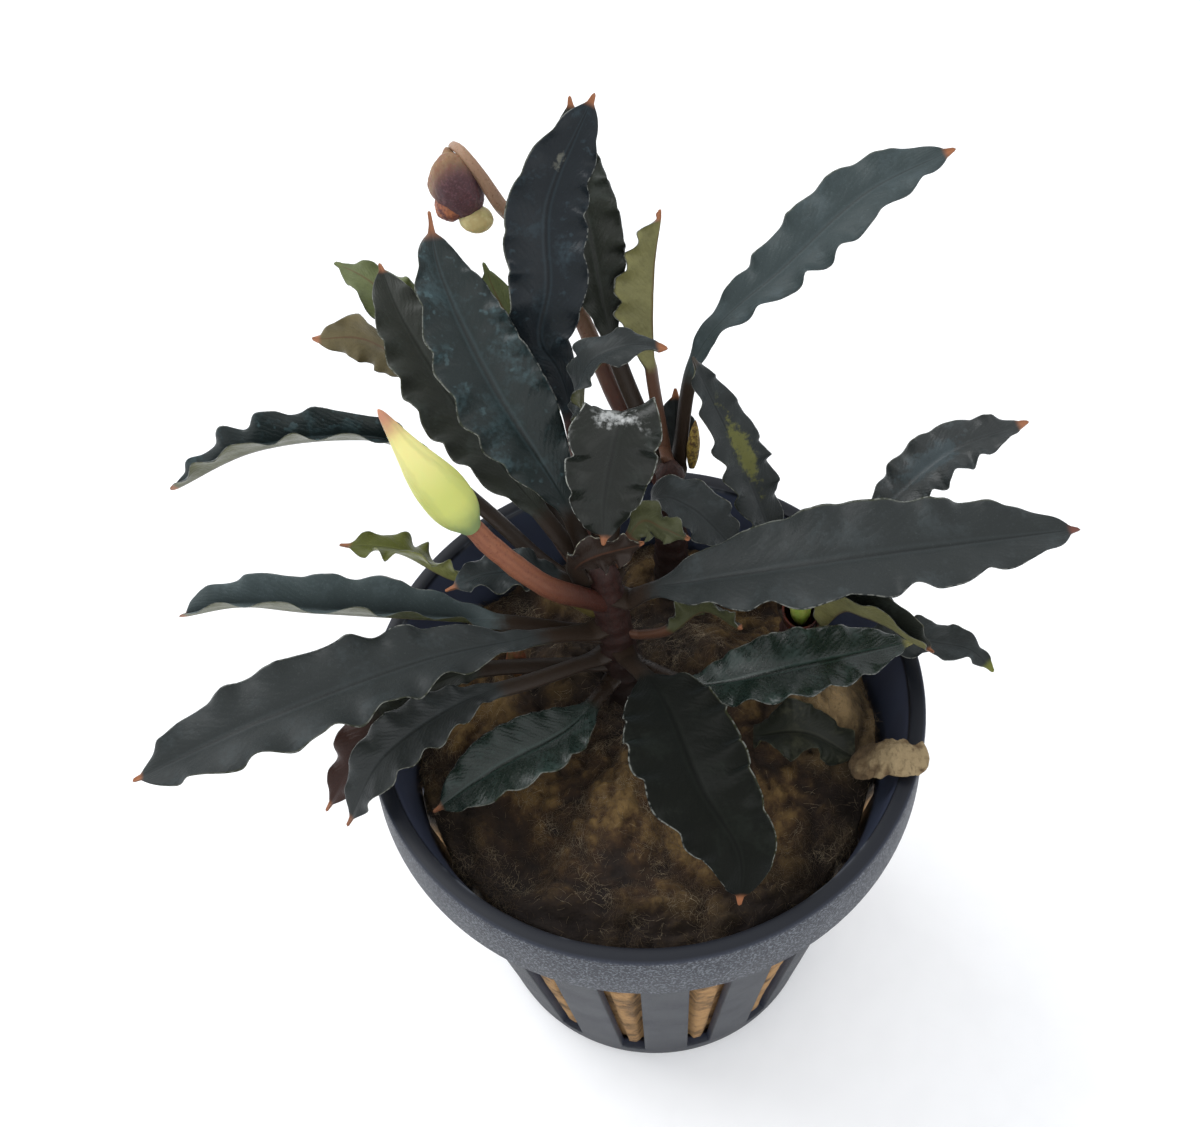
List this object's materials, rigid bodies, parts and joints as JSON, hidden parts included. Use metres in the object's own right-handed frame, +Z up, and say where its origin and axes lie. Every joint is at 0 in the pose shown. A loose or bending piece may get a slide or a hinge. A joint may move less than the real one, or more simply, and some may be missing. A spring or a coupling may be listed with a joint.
{
  "type": "potted aquarium plant",
  "caption": "Small aquarium plant with long rippled dark leaves, a closed bud and a spent flower, rooted in fibre wool in a black slotted net pot.",
  "frame": {"origin": "centre of the pot's flat underside", "axes": "+Z up along the pot's axis; -Y is the front, where the drooping front leaf hangs over the rim; +X to the right of that front"},
  "size_m": [0.0805, 0.0663, 0.0894],
  "materials": {
    "pot_plastic": "satin",
    "fibre_wool": "matte",
    "torn_wool": "matte",
    "rhizome": "satin",
    "leaf_dark": "satin",
    "leaf_grey": "satin",
    "leaf_young": "satin",
    "leaf_underside": "satin",
    "leaf_dead": "matte",
    "flower_stalk": "satin",
    "spathe_green": "satin",
    "spathe_faded": "matte",
    "fruit": "satin",
    "pale_lobe": "satin",
    "sheath": "satin",
    "growth_green": "satin",
    "bract_gold": "satin",
    "shoot_red": "satin"
  },
  "bodies": {
    "root": {"bract": "bract_gold", "bud": "spathe_green", "bud_stalk": "flower_stalk", "decayed_leaf": "leaf_dead", "leaf_back_small": "leaf_grey", "leaf_behind_small": "leaf_young", "leaf_centre_arched": "leaf_dark", "leaf_centre_cupped": "leaf_dark", "leaf_centre_left": "leaf_dark", "leaf_centre_pale": "leaf_underside", "leaf_centre_right": "leaf_grey", "leaf_centre_top": "leaf_dark", "leaf_folded_pale": "leaf_underside", "leaf_front": "leaf_dark", "leaf_front_left_low": "leaf_dark", "leaf_left_arching": "leaf_dark", "leaf_left_long": "leaf_grey", "leaf_left_middle": "leaf_grey", "leaf_left_young": "leaf_young", "leaf_right_arched": "leaf_underside", "leaf_right_back": "leaf_grey", "leaf_right_long": "leaf_dark", "leaf_right_low": "leaf_dark", "leaf_right_small": "leaf_grey", "leaf_rim_left": "leaf_grey", "leaf_rim_left_back": "leaf_dark", "leaf_tall_back": "leaf_dark", "leaf_tall_front": "leaf_dark", "leaf_under_right": "leaf_underside", "leaf_upper_left": "leaf_dark", "leaf_upper_left_back": "leaf_dark", "leaf_upper_left_far": "leaf_young", "leaf_upper_left_small": "leaf_underside", "leaf_upper_right": "leaf_grey", "leaf_yellow_patch": "leaf_grey", "old_shoot": "shoot_red", "pot": "pot_plastic", "spent_flower_fruit": "fruit", "spent_flower_hood": "spathe_faded", "spent_flower_lobe": "pale_lobe", "spent_flower_stalk": "flower_stalk", "stem_back": "rhizome", "stem_front": "rhizome", "stem_right": "rhizome", "wool": "fibre_wool", "wool_flap": "torn_wool", "young_bud": "growth_green", "young_bud_sheath": "sheath"}
  },
  "joints": []
}
